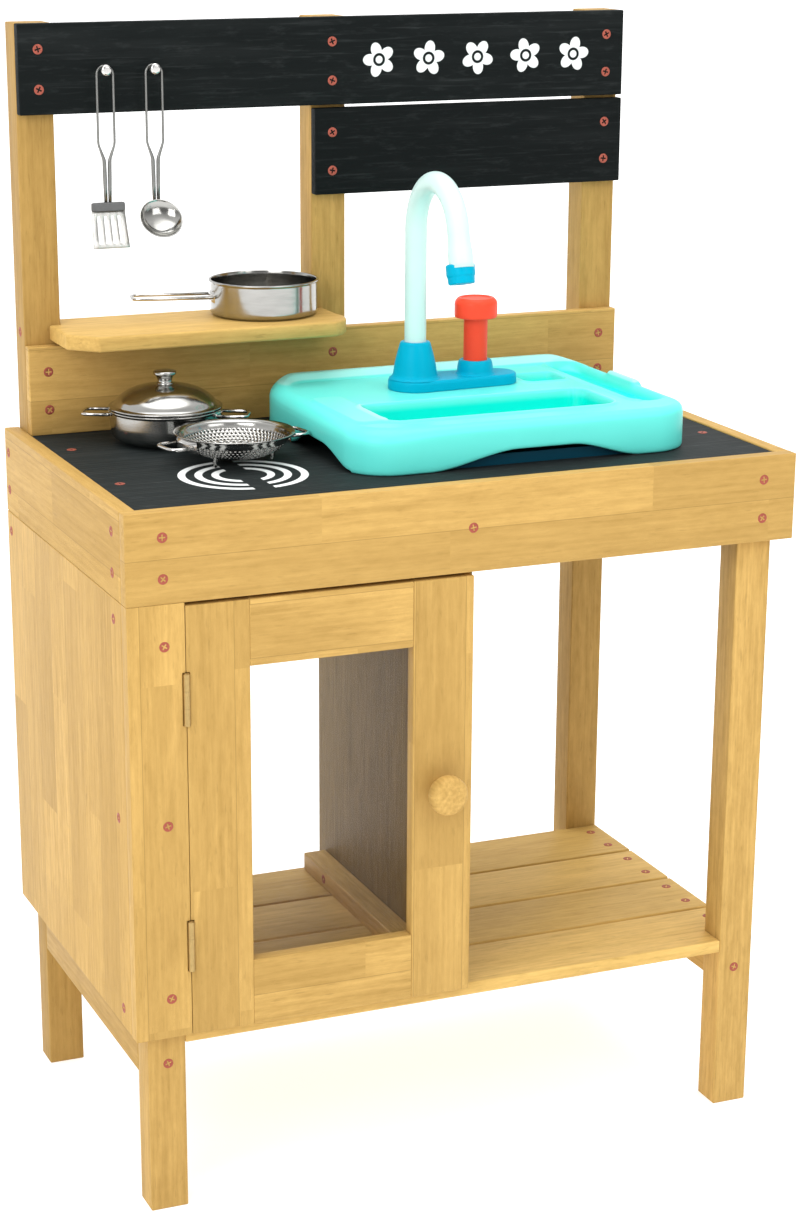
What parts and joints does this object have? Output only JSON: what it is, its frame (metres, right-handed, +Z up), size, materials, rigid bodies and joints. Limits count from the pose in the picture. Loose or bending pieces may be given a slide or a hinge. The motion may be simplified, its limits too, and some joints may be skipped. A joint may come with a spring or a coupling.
{
  "type": "mud kitchen",
  "caption": "Freestanding children's mud kitchen in pine with a windowed cupboard, open shelf, black counter, toy sink with pump tap, and loose toy pots and utensils.",
  "frame": {"origin": "floor point under the middle of the whole's width and depth", "axes": "+X to the right seen from the front, +Y to the back, +Z up"},
  "size_m": [0.6248, 0.404, 1],
  "materials": {
    "pine": "planed pine with a clear satin oil",
    "black_paint": "pine painted satin charcoal black",
    "sink_aqua": "moulded aqua plastic",
    "tap_blue": "moulded blue plastic",
    "spout_pale": "moulded pale mint plastic",
    "pump_red": "moulded red plastic",
    "tub_navy": "dark tub plastic",
    "tin": "thin polished stainless sheet",
    "wire": "bright steel wire",
    "clear_pane": "clear acrylic sheet",
    "hinge_steel": "zinc-plated steel",
    "screw_copper": "yellow-copper passivated steel",
    "catch_white": "white plastic catch"
  },
  "bodies": {
    "root": {"apron_front": "pine", "apron_left": "pine", "apron_right": "pine", "back_rail": "pine", "black_board_low": "black_paint", "black_board_top": "black_paint", "counter_cleats": "pine", "counter_top": "black_paint", "divider": "pine", "divider_batten": "pine", "fixed_stile": "pine", "hinge_leaves_fixed": "hinge_steel", "hinge_pins": "hinge_steel", "leg_front_left": "pine", "leg_front_right": "pine", "magnetic_catch": "catch_white", "post_back_centre": "pine", "post_back_left": "pine", "post_back_right": "pine", "screws_back_wall": "screw_copper", "screws_counter": "screw_copper", "screws_floor": "screw_copper", "screws_front": "screw_copper", "screws_sides": "screw_copper", "shelf": "pine", "side_panel": "pine", "side_rails": "pine", "slat_1": "pine", "slat_2": "pine", "slat_3": "pine", "slat_4": "pine", "splash_board": "pine", "utensil_pegs": "hinge_steel"},
    "door": {"door_stile_left": "pine", "door_stile_right": "pine", "door_rail_top": "pine", "door_rail_bottom": "pine", "door_pane": "clear_pane", "door_knob": "pine", "strike_plate": "hinge_steel", "hinge_leaves_door": "hinge_steel"},
    "sink": {"sink_unit": "sink_aqua", "reservoir": "tub_navy", "tap_base": "tap_blue", "pump_cylinder": "tub_navy", "pump_spring": "hinge_steel"},
    "spout": {"spout_tube": "spout_pale", "nozzle": "tap_blue"},
    "plunger": {"pump_plunger": "pump_red"},
    "casserole": {"casserole_pot": "tin", "casserole_handles": "wire"},
    "lid": {"casserole_lid": "tin", "lid_knob": "tin"},
    "colander": {"colander_bowl": "tin", "colander_handles": "wire"},
    "saucepan": {"saucepan_pot": "tin", "saucepan_handle": "wire"},
    "turner": {"turner": "tin"},
    "ladle": {"ladle": "tin"}
  },
  "joints": [
    {"name": "door_hinge", "type": "hinge", "parent": "root", "child": "door", "pos_m": [-0.2617, -0.1746, 0.3615], "axis": [0, 0, -1], "range_deg": [0, 170]},
    {"name": "sink_lift", "type": "slide", "parent": "root", "child": "sink", "axis": [0, 0, 1], "range_m": [0, 0.03]},
    {"name": "spout_swivel", "type": "hinge", "parent": "sink", "child": "spout", "pos_m": [0.0365, 0.044, 0.7], "axis": [0, 0, 1], "range_deg": [-90, 90]},
    {"name": "pump_push", "type": "slide", "parent": "sink", "child": "plunger", "axis": [0, 0, -1], "range_m": [0, 0.02], "stiffness_N_per_m": 300, "springref_m": -0.01, "deforming": ["pump_spring"]},
    {"name": "casserole_lift", "type": "slide", "parent": "root", "child": "casserole", "axis": [0, 0, 1], "range_m": [0, 0.008]},
    {"name": "lid_lift", "type": "slide", "parent": "casserole", "child": "lid", "axis": [0, 0, 1], "range_m": [0, 0.01]},
    {"name": "colander_lift", "type": "slide", "parent": "root", "child": "colander", "axis": [0, 0, 1], "range_m": [0, 0.1]},
    {"name": "saucepan_lift", "type": "slide", "parent": "root", "child": "saucepan", "axis": [0, 0, 1], "range_m": [0, 0.04]},
    {"name": "turner_swing", "type": "hinge", "parent": "root", "child": "turner", "pos_m": [-0.2225, 0.142, 0.9595], "axis": [0, 1, 0], "range_deg": [-2, 30]},
    {"name": "ladle_swing", "type": "hinge", "parent": "root", "child": "ladle", "pos_m": [-0.177, 0.142, 0.9595], "axis": [0, -1, 0], "range_deg": [-2, 30]}
  ]
}
